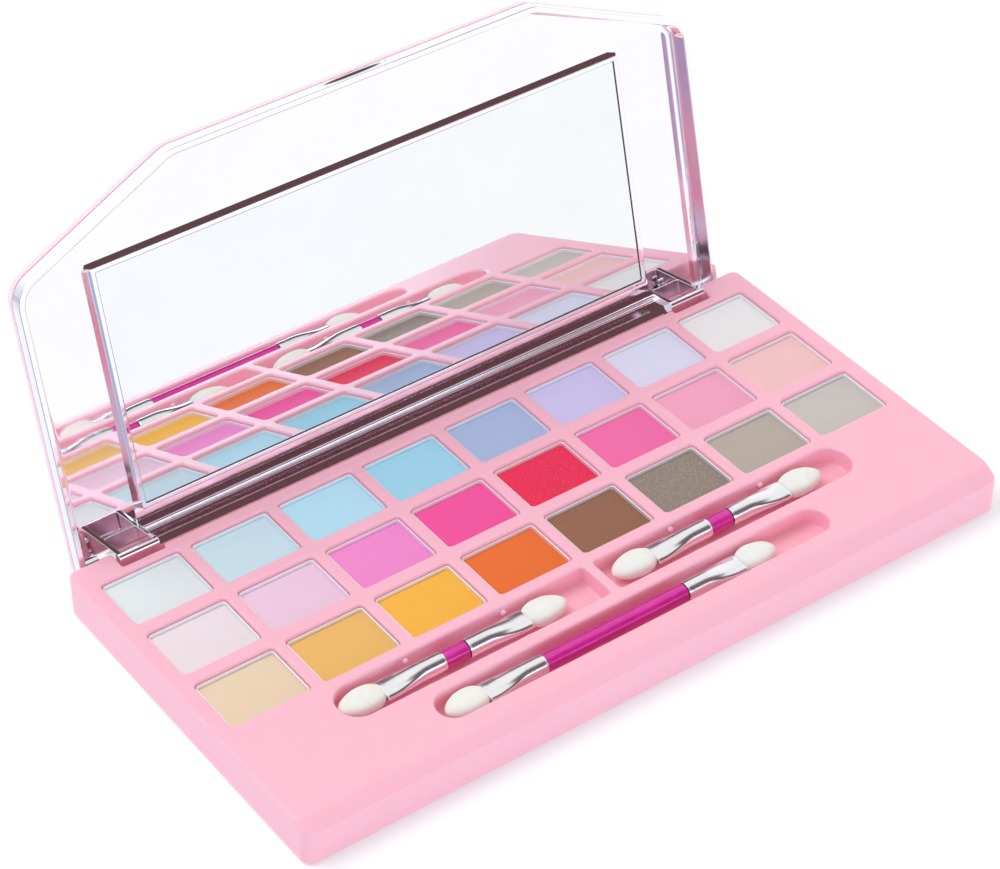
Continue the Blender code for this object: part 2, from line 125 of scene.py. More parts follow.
# lid, in its own closed frame about the hinge axis
HINGE = joint_of("lid_hinge")
LID_PIVOT = Vector(HINGE["pos_m"]) / MM
LID_OPEN = math.radians(HINGE["range_deg"][1])
LID = Matrix.Translation(LID_PIVOT) @ Matrix.Rotation(-LID_OPEN, 4, "X")
LID_HX, LID_REAR, LID_BEND, LID_FAR, LID_FAR_HX = 86.5, 2.2, -66.6, -83.9, 46.4
LID_POINTS = [(-LID_HX, LID_REAR), (-LID_HX, LID_BEND), (-LID_FAR_HX, LID_FAR),
              (LID_FAR_HX, LID_FAR), (LID_HX, LID_BEND), (LID_HX, LID_REAR)]
LID_RADII = [1.4, 7.0, 7.0, 7.0, 7.0, 1.4]
RIM_Z, SEAM_Z, LINER_TOP, COVER_TOP = 2.5, 5.8, 7.55, 8.6
COVER_SKIRT, COVER_T, COVER_EDGE, LID_GAP = 1.3, 0.8, 1.3, 0.3
RIM_WALL, RIM_OUTER_EDGE, RIM_INNER_EDGE, FLOOR_Z = 1.5, 0.2, 0.3, 7.0
SWEEP_START, SWEEP_RUN, SWEEP_RISE, SWEEP_EASE, SWEEP_STEPS = 0.35, 1.7, 0.8, 0.7, 11
MIRROR_HX, MIRROR_HY, MIRROR_Y, MIRROR_Z, MIRROR_T = 67.15, 27.65, -35.15, 5.72, 1.0
MIRROR_R, MIRROR_GAP = 0.4, 0.07
BEZEL_Z, BEZEL_EDGE, BEZEL_FOOT_X, BEZEL_FOOT_Y = 5.35, 1.1, 2.4, 1.12
SCOOP, SCOOP_Z = (8.6, 1.3, 1.4), 4.3       # half sizes of the thumb scoop, and its height

# hinge wall, in (y, z) about the hinge axis, from the lid's floor round to its back
GUTTER_Y, GUTTER_END_Y, GUTTER_DROP = -6.3, -4.1, 0.36
SHELF_Y, SHELF_Z, STEP_R, CREVICE_R = -3.0, 5.1, 0.6, 0.35
WALL_FOOT_Z, CHIN = -0.25, (-0.35, -1.17)
BELLY, BELLY_RADII, BELLY_START = (0.45, 0.1), (1.65, 1.42), 243
HINGE_BACK, BACK_TOP, INSIDE_Y = 2.1, SEAM_Z - 0.2, 0.5
BURIED = 0.2                                # how far the hinge parts sink into the floor

# lugs: open boxes at the two ends of the hinge wall
LUG_X0, LUG_X1, LUG_WALL = 69.3, 79.2, 1.1
LUG_FRONT, LUG_FRONT_R = (-1.85, -1.15), 1.05
LUG_REAR, LUG_REAR_R = (1.1, -1.2), 1.0
LUG_MOUTH_Y, LUG_MIDDLE = -2.9, Vector((-0.4, 2.0))
LUG_ENDS = ((0.0, 0.22), (0.06, 0.08), (0.2, 0.0))          # distance in, how much smaller
LUG_POCKET_Z, LUG_LIP, LUG_POCKET_R, LUG_LIP_EDGE = (-1.15, 6.75), -0.22, 0.4, 0.18
LUG_POCKET_END = [(0.95, 0.0), (1.15, 0.06), (1.25, 0.25)]  # its rounded floor

# applicators: handle length, ferrule length, tip length
APPLICATORS = {
    "short_left": (5.6, 15.5, 10.2),
    "short_right": (5.6, 15.5, 10.2),
    "long": (36.4, 15.2, 9.4),
}
HANDLE_R, HANDLE_EDGE, SPIGOT_R, SPIGOT_END_R = 2.05, 0.3, 1.45, 1.15
FERRULE_R, FERRULE_T, FERRULE_GAP = 2.2, 0.3, 0.2
FERRULE_END_Y, FERRULE_END_Z = 3.0, 1.15
FERRULE_LIP, FERRULE_MOUTH, FERRULE_PINCH = 0.12, 0.10, 0.11
STEM = ((-2.8, 1.9, 0.42), (-0.3, 2.1, 0.5), (-0.12, 2.2, 0.8))    # along, half width, half height
TIP_GAP, TIP_HY, TIP_HZ, TIP_WIDEST, TIP_NECK = 0.1, 3.5, 2.35, 0.36, 0.34
TIP_BLUNT = 0.02                            # smallest share of the width, at the very end

POWDERS = {
    # name: colour, share of shimmer, size of its flecks in millimetres
    "mint_white": ((0.80, 0.84, 0.83), 0.25, 0.10),
    "pale_blue": ((0.65, 0.82, 0.89), 0.15, 0.10),
    "sky_blue": ((0.52, 0.83, 0.97), 0.10, 0.10),
    "turquoise": ((0.39, 0.75, 0.91), 0.05, 0.10),
    "periwinkle": ((0.45, 0.55, 0.80), 0.45, 0.12),
    "lavender": ((0.71, 0.62, 0.93), 0.10, 0.10),
    "light_lavender": ((0.83, 0.80, 0.97), 0.10, 0.10),
    "silver_white": ((0.94, 0.89, 0.87), 0.25, 0.10),
    "blush_white": ((0.87, 0.75, 0.76), 0.20, 0.10),
    "lilac_pink": ((0.89, 0.60, 0.74), 0.20, 0.10),
    "orchid": ((0.95, 0.26, 0.62), 0.05, 0.10),
    "hot_pink": ((0.97, 0.075, 0.35), 0.05, 0.10),
    "red": ((0.90, 0.005, 0.075), 0.35, 0.12),
    "bright_pink": ((0.97, 0.15, 0.40), 0.05, 0.10),
    "soft_pink": ((0.97, 0.39, 0.55), 0.05, 0.10),
    "peach": ((0.96, 0.57, 0.56), 0.15, 0.10),
    "beige": ((0.84, 0.64, 0.44), 0.20, 0.10),
    "ochre": ((0.86, 0.48, 0.12), 0.10, 0.10),
    "amber": ((0.97, 0.47, 0.04), 0.05, 0.10),
    "orange": ((0.86, 0.15, 0.01), 0.05, 0.10),
    "brown": ((0.30, 0.12, 0.06), 0.10, 0.10),
    "dark_taupe": ((0.29, 0.22, 0.17), 1.00, 0.20),
    "taupe": ((0.49, 0.41, 0.34), 0.45, 0.12),
    "grey_beige": ((0.60, 0.54, 0.49), 0.45, 0.12),
}

# finishes: colour, and its other shade
PINK = (0.92, 0.51, 0.60), (0.915, 0.495, 0.585)
LID_PINK = (0.92, 0.70, 0.77), (0.91, 0.68, 0.755)
CHROME = (0.955, 0.945, 0.96), (0.94, 0.925, 0.95)
# painted reflection: the pink tint of the hinge wall's grained chrome stands in for the pink deck
# reflected in it
CHROME_GRAINED_PINK_REFLECTION = (0.96, 0.84, 0.90), (0.94, 0.80, 0.87)
# painted shade: the darker, mauve chrome inside the lugs and on the side rims' inner walls stands in
# for the shade and tinted bounce light there
CHROME_PAINTED_SHADE = (0.90, 0.73, 0.80), (0.86, 0.67, 0.75)
TIN = (0.93, 0.92, 0.93), (0.87, 0.86, 0.87)
STEEL = (0.66, 0.65, 0.66), (0.5, 0.49, 0.5)
SILVER = (0.95, 0.955, 0.965), (0.90, 0.91, 0.925)
SILVERED_GLASS = (0.90, 0.92, 0.92), (0.88, 0.90, 0.905)
GROUND_GLASS = (0.10, 0.10, 0.12), (0.22, 0.22, 0.25)
MAGENTA = (0.60, 0.010, 0.25), (0.72, 0.022, 0.34)
# the pores' colour is painted shade, darker where the foam dips
FOAM, FOAM_PORE_SHADE = ((0.88, 0.855, 0.77), (0.93, 0.915, 0.85)), (0.80, 0.75, 0.64)
STUDIO_FLOOR = (0.84, 0.845, 0.835), (0.86, 0.865, 0.855)

# surroundings: colour far from every patch, then each patch's direction, the degrees within
# which it is full and beyond which it is gone, and its colour
SKY = (1.04, 1.04, 1.05)
SKY_PATCHES = (
    ((0.0, 0.0, 1.0), 20, 75, (0.88, 0.88, 0.88)),          # ceiling
    ((-1.0, 0.0, 0.0), 25, 80, (0.36, 0.50, 0.70)),         # cool side on the left
    ((0.0, -1.0, 0.15), 8, 40, (1.04, 1.07, 1.20)),         # bright panel in front
    ((-0.50, -0.80, -0.33), 10, 30, (0.46, 0.38, 0.58)),    # dusk low on the front left
    ((0.42, -0.60, 0.68), 14, 34, (0.12, 0.065, 0.07)),     # dark opening high on the front right
)
# lamps: name, place, aim and size in metres, watts, colour
LAMPS = (
    ("key", (-0.5, 0.35, 0.95), (0, 0, 0), (0.7, 0.7), 5.2, (1.0, 0.985, 0.97)),
    ("fill", (0.1, -0.9, 0.22), (0, 0, 0.01), (0.8, 0.3), 1.6, (0.60, 0.86, 1.0)),
)
CAMERA_PLACE = (-0.30617, -0.41256, 0.45949)
CAMERA_HEADING, CAMERA_DOWN, CAMERA_ROLL = -35.634, 39.594, -0.436      # degrees
SENSOR_MM, LENS_MM = 36.0, 114.54
FLOOR_SIZE, FLOOR_DROP = 3.0, 0.0002        # metres


# ---------------------------------------------------------------- meshes

def centre_of(node):
    """Middle of a CAD node, seen from above."""
    low, high = size_of(node)
    return (low.x + high.x) / 2, (low.y + high.y) / 2


def turns(count):
    """Angles once round a circle."""
    return [2 * math.pi * k / count for k in range(count)]


def arc(centre, radii, start, stop, steps):
    """Points along part of an ellipse, from one angle to another in degrees."""
    out = []
    for k in range(steps + 1):
        a = math.radians(start + (stop - start) * k / steps)
        out.append((centre[0] + radii[0] * math.cos(a), centre[1] + radii[1] * math.sin(a)))
    return out


def outline(points, radii, inset, steps):
    """Counter-clockwise polygon with every side moved inwards and every corner rounded.

    inset is one number or one for each side.  A convex corner tightens as it moves in,
    and a concave one opens.
    """
    count = len(points)
    insets = [inset] * count if isinstance(inset, (int, float)) else inset
    lines = []
    for i in range(count):
        a, b = Vector(points[i]), Vector(points[(i + 1) % count])
        along = (b - a).normalized()
        lines.append((a + Vector((-along.y, along.x)) * insets[i], along))
    corners, bends = [], []
    for i in range(count):
        (p, d), (q, e) = lines[i - 1], lines[i]
        corners.append(p + d * ((q - p).cross(e) / d.cross(e)))
        bends.append(d.cross(e))
    out = []
    for i in range(count):
        before, here, after = corners[i - 1], corners[i], corners[(i + 1) % count]
        u, v = (before - here).normalized(), (after - here).normalized()
        half = u.angle(v) / 2
        moved = min(insets[i - 1], insets[i])
        r = max(radii[i] - moved if bends[i] > 0 else radii[i] + moved, LEAST_R)
        centre = here + (u + v).normalized() * (r / math.sin(half))
        start = here + u * (r / math.tan(half)) - centre
        stop = here + v * (r / math.tan(half)) - centre
        a0 = math.atan2(start.y, start.x)
        turn = math.atan2(start.cross(stop), start.dot(stop))
        for k in range(steps + 1):
            a = a0 + turn * k / steps
            out.append((centre.x + r * math.cos(a), centre.y + r * math.sin(a)))
    return out


def rect(x0, x1, y0, y1):
    """Corners of a rectangle, counter-clockwise."""
    return [(x0, y0), (x1, y0), (x1, y1), (x0, y1)]


def at(points, z):
    """Flat points lifted to one height."""
    return [(x, y, z) for x, y in points]


def skin(bm, loops):
    """Join loops of vertices of equal length by quads."""
    count = len(loops[0])
    for low, high in zip(loops, loops[1:]):
        for i in range(count):
            j = (i + 1) % count
            bm.faces.new((low[i], low[j], high[j], high[i]))


def rings_of(bm, rings):
    """Vertices for a stack of rings, joined by quads."""
    loops = [[bm.verts.new(p) for p in ring] for ring in rings]
    skin(bm, loops)
    return loops


def loft(bm, rings):
    """A closed body through a stack of rings."""
    loops = rings_of(bm, rings)
    bm.faces.new(list(reversed(loops[0])))
    bm.faces.new(loops[-1])
    return loops


def lathe(bm, stations, centre, sides):
    """A body of revolution along X through (x, radius) stations."""
    cx, cy, cz = centre
    loft(bm, [[(cx + x, cy + r * math.cos(a), cz + r * math.sin(a)) for a in turns(sides)]
              for x, r in stations])


def fill(bm, outer, holes):
    """Flat face between one loop of vertices and the holes in it."""
    flat = [v for loop in [outer] + holes for v in loop]
    polygons = [[v.co.copy() for v in loop] for loop in [outer] + holes]
    for triangle in geometry.tessellate_polygon(polygons):
        bm.faces.new([flat[k] for k in triangle])


def edge_steps(radius, steps):
    """(inset, drop) pairs from a flat face over a rounded edge to the wall below it."""
    out = [(radius + SUPPORT, 0.0)]
    for k in range(steps + 1):
        a = math.radians(90 * k / steps)
        out.append((radius * (1 - math.sin(a)), radius * (1 - math.cos(a))))
    return out


def finish(node, bm, materials, body, place=None, sharp=38):
    """Turn millimetres into a shaded piece in metres that rides on a body and shows a node.

    place moves it from its own frame, and sharp is the angle in degrees above which an
    edge stays crisp.
    """
    name = "palette_" + node
    bmesh.ops.recalc_face_normals(bm, faces=bm.faces)
    if place is not None:
        bm.transform(place)
    bm.transform(Matrix.Scale(MM, 4))
    mesh = bpy.data.meshes.new(name)
    bm.to_mesh(mesh)
    bm.free()
    piece = bpy.data.objects.new(name, mesh)
    bpy.context.scene.collection.objects.link(piece)
    for mat in materials:
        mesh.materials.append(mat)
    mesh.shade_smooth()
    mesh.set_sharp_from_angle(angle=math.radians(sharp))
    weigh = piece.modifiers.new("weigh", "WEIGHTED_NORMAL")
    weigh.mode = "FACE_AREA_WITH_ANGLE"
    weigh.keep_sharp = True
    bpy.context.view_layer.update()
    graph = bpy.context.evaluated_depsgraph_get()
    piece.data = bpy.data.meshes.new_from_object(piece.evaluated_get(graph))
    piece.modifiers.clear()
    bpy.data.meshes.remove(mesh)
    piece.data.name = name
    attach(piece, body)
    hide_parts(node)
    return piece


def combined(bm, other, operation):
    """The first bmesh joined with or cut by the second, as a new bmesh."""
    pair = []
    for source in (bm, other):
        bmesh.ops.recalc_face_normals(source, faces=source.faces)
        mesh = bpy.data.meshes.new("boolean_work")
        source.to_mesh(mesh)
        source.free()
        obj = bpy.data.objects.new("boolean_work", mesh)
        bpy.context.scene.collection.objects.link(obj)
        pair.append(obj)
    mod = pair[0].modifiers.new("cut", "BOOLEAN")
    mod.operation = operation
    mod.solver = "EXACT"
    mod.object = pair[1]
    bpy.context.view_layer.update()
    graph = bpy.context.evaluated_depsgraph_get()
    result = bmesh.new()
    result.from_mesh(pair[0].evaluated_get(graph).to_mesh())
    for obj in pair:
        mesh = obj.data
        bpy.data.objects.remove(obj)
        bpy.data.meshes.remove(mesh)
    return result


# ---------------------------------------------------------------- casing

def case_polygon():
    """Deck outline with the hinge recess, and its corner radii."""
    half = [(RECESS_HX, CASE_REAR), (RECESS_HX, POCKET_Y), (POCKET_X, POCKET_Y),
            (POCKET_X, RECESS_Y)]
    points = [(-CASE_HX, CASE_FRONT), (CASE_HX, CASE_FRONT), (CASE_HX, CASE_REAR)]
    points += half + [(-x, y) for x, y in reversed(half)] + [(-CASE_HX, CASE_REAR)]
    radii = [CORNER_FRONT, CORNER_FRONT, CORNER_REAR]
    radii += RECESS_RADII + RECESS_RADII[::-1] + [CORNER_REAR]
    return points, radii


def front_profile():
    """(inset, z) of the front wall, its two soft creases and the slope between them."""
    low = DECK_Z - SLOPE_DROP
    slope = Vector((SLOPE_RUN, SLOPE_DROP)).normalized()
    points = []
    for corner, before, after, reach in (
            (Vector((0.0, low)), Vector((0.0, 1.0)), slope, FRONT_CREASE),
            (Vector((SLOPE_RUN, DECK_Z)), slope, Vector((1.0, 0.0)), DECK_CREASE)):
        a, b = corner - before * reach, corner + after * reach
        for k in range(CORNER_STEPS + 1):
            t = k / CORNER_STEPS
            points.append(a * (1 - t) ** 2 + corner * (2 * t * (1 - t)) + b * t * t)
    return [(p.x, p.y) for p in points]


def side_inset(z):
    """Inset of the side walls at one height, with a rounded top edge."""
    rise = max(z - (DECK_Z - EDGE_R), 0.0)
    return EDGE_R - math.sqrt(max(EDGE_R ** 2 - rise ** 2, 0.0))


def case_walls(bm):
    """Walls from the deck's edge down to the foot; gives the loops at their two ends."""
    points, radii = case_polygon()

    def ring(z, front, side):
        """The deck's outline at one height, inset at the front and at the sides."""
        insets = [front] + [side] * (len(points) - 1)
        return at(outline(points, radii, insets, CORNER_STEPS), z)

    upper = [ring(RECESS_Z, 0.0, 0.0)]
    upper += [ring(z, front, side_inset(z)) for front, z in front_profile()]
    upper.append(ring(DECK_Z, SLOPE_RUN + DECK_CREASE + SUPPORT, EDGE_R + SUPPORT))
    loops = rings_of(bm, upper)
    ledge = loops[0]

    # below the recess the rear wall is straight
    per_corner = CORNER_STEPS + 1
    first = FRONT_CORNERS * per_corner
    recess = ledge[first:first + RECESS_CORNERS * per_corner]
    lower = ledge[:first] + [recess[0], recess[-1]] + ledge[first + len(recess):]
    mid, half = (CASE_FRONT + CASE_REAR) / 2, (CASE_REAR - CASE_FRONT) / 2
    stack = [lower]
    for z, amount in FOOT_CURVE:
        across, along = (CASE_HX - amount) / CASE_HX, (half - amount) / half
        stack.append([bm.verts.new((v.co.x * across, mid + (v.co.y - mid) * along, z))
                      for v in lower])
    skin(bm, stack)
    bm.faces.new(recess)
    return loops[-1], stack[-1]


def case_hollow(bm):
    """Hollow of the underside; gives the loops at its mouth and at the deck's underside."""
    hx, rear = CASE_HX - CASE_WALL, CASE_REAR - CASE_WALL
    rings = []
    for z, front, back in ((0.0, CASE_WALL, rear), (BLOCK_Z, CASE_WALL, rear),
                           (BLOCK_Z, CASE_WALL, BLOCK_Y), (HAUNCH_Z, CASE_WALL, BLOCK_Y),
                           (DECK_UNDER_Z, SLOPE_RUN + HAUNCH_RUN, BLOCK_Y)):
        points = rect(-hx, hx, CASE_FRONT + front, back)
        rings.append(at(outline(points, [HOLLOW_R] * 4, 0.0, 4), z))
    loops = rings_of(bm, rings)
    return loops[0], loops[-1]


def case_cells(bm):
    """The openings over the pans; gives their loops on the deck and under it."""
    top_holes, under_holes = [], []
    for name in POWDERS:
        x, y = centre_of("powder_" + name)
        points = rect(x - CELL_HX, x + CELL_HX, y - CELL_HY, y + CELL_HY)
        rings = [at(outline(points, [CELL_R] * 4, -grow, 5), DECK_Z - drop)
                 for grow, drop in edge_steps(CELL_EDGE, 4)]
        rings.append(at(outline(points, [CELL_R] * 4, 0.0, 5), DECK_UNDER_Z))
        made = rings_of(bm, rings)
        top_holes.append(made[0])
        under_holes.append(made[-1])
    return top_holes, under_holes


def case_wells(bm):
    """Wells with a rounded edge and foot; gives their loops on the deck."""
    holes = []
    for x0, x1, y0, y1, left, right in WELLS.values():
        points, radii = rect(x0, x1, y0, y1), [left, right, right, left]
        rings = [at(outline(points, radii, -grow, 8), DECK_Z - drop)
                 for grow, drop in edge_steps(WELL_EDGE, 5)]
        for k in range(6):
            a = math.radians(90 * k / 5)
            rings.append(at(outline(points, radii, WELL_FOOT * (1 - math.cos(a)), 8),
                            WELL_FLOOR_Z + WELL_FOOT * (1 - math.sin(a))))
        rings.append(at(outline(points, radii, WELL_FOOT + SUPPORT, 8), WELL_FLOOR_Z))
        made = rings_of(bm, rings)
        holes.append(made[0])
        bm.faces.new(made[-1])
    return holes


def well_tubs(bm):
    """Outsides of the wells, under the deck; the two rear ones share one tub."""
    left, right = WELLS["rear_left"], WELLS["rear_right"]
    pair = (left[0], right[1], left[2], left[3], left[4], right[5])
    holes = []
    for x0, x1, y0, y1, left_r, right_r in (pair, WELLS["front"]):
        points = rect(x0 - WELL_WALL, x1 + WELL_WALL, y0 - WELL_WALL, y1 + WELL_WALL)
        left_r, right_r = left_r + WELL_WALL, right_r + WELL_WALL
        around = outline(points, [left_r, right_r, right_r, left_r], 0.0, 6)
        tub = rings_of(bm, [at(around, DECK_UNDER_Z), at(around, WELL_FLOOR_Z - WELL_WALL)])
        holes.append(tub[0])
        bm.faces.new(tub[-1])
    return holes


def add_nubs(bm):
    """Domed nubs that grip the short applicators."""
    for key, places in NUBS.items():
        y0, y1 = WELLS[key][2], WELLS[key][3]
        for x in places:
            for wall, out in ((y1, -1), (y0, 1)):
                loft(bm, [[(x + NUB_R * share * math.cos(a), wall + out * NUB_OUT * reach,
                            NUB_Z + NUB_R * share * math.sin(a)) for a in turns(16)]
                          for reach, share in NUB_DOME])


def make_casing(plastic):
    """Deck, walls, openings, wells and the hinge recess as one closed moulding."""
    bm = bmesh.new()
    deck_edge, foot = case_walls(bm)
    mouth, under_edge = case_hollow(bm)
    fill(bm, foot, [mouth])
    top_holes, under_holes = case_cells(bm)
    top_holes += case_wells(bm)
    fill(bm, deck_edge, top_holes)
    under_holes += well_tubs(bm)
    fill(bm, under_edge, under_holes)
    add_nubs(bm)
    finish("casing", bm, [plastic], "base")


def make_plate(plastic):
    """Plate that closes the underside, with a softened edge."""
    low, high = size_of("base_plate")
    points = rect(low.x, high.x, low.y, high.y)
    rings = [at(outline(points, [PLATE_R] * 4, grow, 4), low.z + drop)
             for grow, drop in edge_steps(PLATE_EDGE, 3)]
    rings.append(at(outline(points, [PLATE_R] * 4, 0.0, 4), high.z))
    bm = bmesh.new()
    loft(bm, rings)
    finish("base_plate", bm, [plastic], "base")


# ---------------------------------------------------------------- pans and powders

def make_strip(word, names, tin):
    """A row of eight cups with rolled rims on one flange."""
    node = "pan_strip_" + word
    low, high = size_of(node)
    bm = bmesh.new()
    flange = outline(rect(low.x, high.x, low.y, high.y), [FLANGE_R] * 4, 0.0, 3)
    plate = rings_of(bm, [at(flange, FLANGE_TOP_Z - FLANGE_T), at(flange, FLANGE_TOP_Z)])
    top_holes, under_holes = [], []
    lip = PAN_WALL / 2
    for name in names:
        x, y = centre_of("powder_" + name)
        points = rect(x - PAN_HX, x + PAN_HX, y - PAN_HY, y + PAN_HY)
        corner = [PAN_R] * 4
        rings = [at(outline(points, corner, 0.0, 5), FLANGE_TOP_Z)]
        for k in range(9):
            a = math.radians(180 * k / 8)
            rings.append(at(outline(points, corner, lip * (1 - math.cos(a)), 5),
                            PAN_RIM_Z - lip + lip * math.sin(a)))
        rings.append(at(outline(points, corner, PAN_WALL, 5), PAN_FLOOR_Z))
        cup = rings_of(bm, rings)
        top_holes.append(cup[0])
        bm.faces.new(cup[-1])
        outside = rings_of(bm, [at(outline(points, corner, 0.0, 5), z)
                                for z in (FLANGE_TOP_Z - FLANGE_T, PAN_FLOOR_Z - PAN_FLOOR_T)])
        under_holes.append(outside[0])
        bm.faces.new(outside[-1])
    fill(bm, plate[1], top_holes)
    fill(bm, plate[0], under_holes)
    finish(node, bm, [tin], "base", sharp=50)


def spread(half, count):
    """Grid positions from one edge to the other, closer together near the edges."""
    inner = half - EDGE_BANDS[-1]
    middle = [-inner + 2 * inner * k / count for k in range(1, count)]
    return [-half + d for d in EDGE_BANDS] + middle + [half - d for d in reversed(EDGE_BANDS)]


def rounded(x, y, hx, hy):
    """A grid point moved inside rounded corners, and its distance from the nearest side."""
    qx, qy = abs(x) - (hx - CAKE_R), abs(y) - (hy - CAKE_R)
    if qx <= 0 or qy <= 0:
        return x, y, min(hx - abs(x), hy - abs(y))
    scale = max(qx, qy) / math.hypot(qx, qy)
    return (math.copysign(hx - CAKE_R + qx * scale, x),
            math.copysign(hy - CAKE_R + qy * scale, y), CAKE_R - max(qx, qy))


def cake_surface(px, py, inside, seed):
    """Height of a cake's top: slow waves, a worn edge and crumbs along it."""
    slow = noise.noise(Vector((px * 0.35, py * 0.35, seed * 7.3)))
    fine = noise.noise(Vector((px * 2.1, py * 2.1, seed * 3.1)))
    drop = EDGE_DROP * max(0.0, 1 - inside / EDGE_RUN) ** 2
    ragged = RAGGED * fine * max(0.0, 1 - inside / RAGGED_RUN)
    return CAKE_RISE - drop + ragged + SWELL * slow


def make_powder(name, mat, seed):
    """Pressed powder block with a soft, slightly uneven surface and crumbly edges."""
    node = "powder_" + name
    low, high = size_of(node)
    cx, cy = centre_of(node)
    hx, hy = PAN_HX - PAN_WALL - CAKE_GAP, PAN_HY - PAN_WALL - CAKE_GAP
    bm = bmesh.new()
    xs, ys = spread(hx, CAKE_ACROSS), spread(hy, CAKE_ALONG)
    grid = []
    for y in ys:
        row = []
        for x in xs:
            px, py, inside = rounded(x, y, hx, hy)
            z = high.z + cake_surface(px, py, inside, seed)
            row.append(bm.verts.new((cx + px, cy + py, z)))
        grid.append(row)
    for j in range(len(ys) - 1):
        for i in range(len(xs) - 1):
            bm.faces.new((grid[j][i], grid[j][i + 1], grid[j + 1][i + 1], grid[j + 1][i]))
    border = grid[0][:-1] + [r[-1] for r in grid[:-1]] + grid[-1][:0:-1]
    border += [grid[j][0] for j in range(len(ys) - 1, 0, -1)]
    foot = [bm.verts.new((v.co.x, v.co.y, low.z)) for v in border]
    skin(bm, [foot, border])
    bm.faces.new(list(reversed(foot)))
    finish(node, bm, [mat], "base", sharp=60)


# ---------------------------------------------------------------- lid

def lid_ring(z, inset):
    """The lid's outline, inset, at one height."""
    return at(outline(LID_POINTS, LID_RADII, inset, 7), z)


def make_cover(plastic):
    """Outer shell of the lid, rounded all round its back."""
    bm = bmesh.new()
    rings = [lid_ring(COVER_TOP - COVER_T, COVER_SKIRT)]
    rings += [lid_ring(SEAM_Z + rise, inset) for rise, inset in (
        (0.3, COVER_SKIRT), (0.2, COVER_SKIRT - 0.1), (0.2, 0.25), (0.27, 0.07), (0.45, 0.0))]
    rings += [lid_ring(COVER_TOP - drop, inset)
              for inset, drop in reversed(edge_steps(COVER_EDGE, 7))]
    loft(bm, rings)
    finish("lid_cover", bm, [plastic], "lid", LID)


def liner_tray(bm):
    """Back, rim and swept floor of the liner; gives the loop round the floor."""
    seat = COVER_SKIRT + LID_GAP
    rings = [lid_ring(LINER_TOP, seat)]
    rings += [lid_ring(SEAM_Z - drop, inset)
              for drop, inset in ((0.1, seat), (0.1, 0.2), (0.16, 0.06), (0.3, 0.0))]
    rings += [lid_ring(RIM_Z + drop, inset)
              for inset, drop in reversed(edge_steps(RIM_OUTER_EDGE, 4))]
    rings += [lid_ring(RIM_Z + drop, RIM_WALL - inset)
              for inset, drop in edge_steps(RIM_INNER_EDGE, 4)]
    start = RIM_WALL + SWEEP_START
    for k in range(SWEEP_STEPS + 1):        # the floor sweeps up to the rim in a broad curve
        a = math.radians(90 * (k / SWEEP_STEPS) ** SWEEP_EASE)
        rings.append(lid_ring(FLOOR_Z - SWEEP_RISE * (1 - math.sin(a)),
                              start + SWEEP_RUN * (1 - math.cos(a))))
    rings.append(lid_ring(FLOOR_Z, start + SWEEP_RUN + 0.3))
    loops = rings_of(bm, rings)
    bm.faces.new(loops[0])
    return loops[-1]


def liner_bezel(bm):
    """Raised frame round the mirror with the seat for the glass; gives the loop at its foot."""
    edge, fx, fy, gap = BEZEL_EDGE, BEZEL_FOOT_X, BEZEL_FOOT_Y, MIRROR_GAP
    rings = []
    # height, how far outside the mirror's sides and ends, corner radius
    for z, gx, gy, radius in (
            (FLOOR_Z, fx + 0.2, fy + 0.2, 0.8), (FLOOR_Z, fx, fy, 0.7),
            (BEZEL_Z + 0.14, edge + 0.08, edge + 0.03, 0.5),
            (BEZEL_Z + 0.04, edge, edge - 0.02, 0.45),
            (BEZEL_Z, edge - 0.08, edge - 0.08, 0.6), (BEZEL_Z, edge - 0.2, edge - 0.2, 0.6),
            (BEZEL_Z, 0.24, 0.24, 0.4), (BEZEL_Z, 0.14, 0.14, 0.3),
            (BEZEL_Z + 0.06, gap, gap, 0.3), (MIRROR_Z + MIRROR_T + 0.2, gap, gap, 0.3)):
        points = rect(-MIRROR_HX - gx, MIRROR_HX + gx,
                      MIRROR_Y - MIRROR_HY - gy, MIRROR_Y + MIRROR_HY + gy)
        rings.append(at(outline(points, [radius] * 4, 0.0, 4), z))
    loops = rings_of(bm, rings)
    bm.faces.new(loops[-1])
    return loops[0]


def thumb_scoop():
    """Cutter for the shallow scoop in the far edge, against the seam."""
    ball = bmesh.new()
    bmesh.ops.create_uvsphere(ball, u_segments=40, v_segments=24, radius=1.0)
    for v in ball.verts:
        v.co = Vector((v.co.x * SCOOP[0], LID_FAR + v.co.y * SCOOP[1],
                       SCOOP_Z + v.co.z * SCOOP[2]))
    return ball


def hinge_wall():
    """Wall at the hinge: a gutter, a shelf, a rounded step, a crevice, a wall and a belly."""
    floor, buried = FLOOR_Z - 0.02, FLOOR_Z + BURIED
    wall_y = SHELF_Y + STEP_R + CREVICE_R
    profile = [(GUTTER_Y, buried), (GUTTER_Y, floor), (GUTTER_END_Y, floor - GUTTER_DROP),
               (SHELF_Y, floor - GUTTER_DROP)]
    profile += arc((SHELF_Y + STEP_R, SHELF_Z), (STEP_R, STEP_R), 180, 270, 9)
    profile += arc((SHELF_Y + STEP_R, SHELF_Z - STEP_R - CREVICE_R),
                   (CREVICE_R, CREVICE_R), 90, 0, 6)[1:]
    profile += [(wall_y, WALL_FOOT_Z), CHIN]
    profile += arc(BELLY, BELLY_RADII, BELLY_START, 360, 10)
    profile += [(HINGE_BACK, BACK_TOP), (INSIDE_Y, BACK_TOP), (INSIDE_Y, buried)]
    half = LUG_X0 + 0.3
    bar = bmesh.new()
    loft(bar, [[(x, y, z) for y, z in profile] for x in (-half, half)])
    return bar


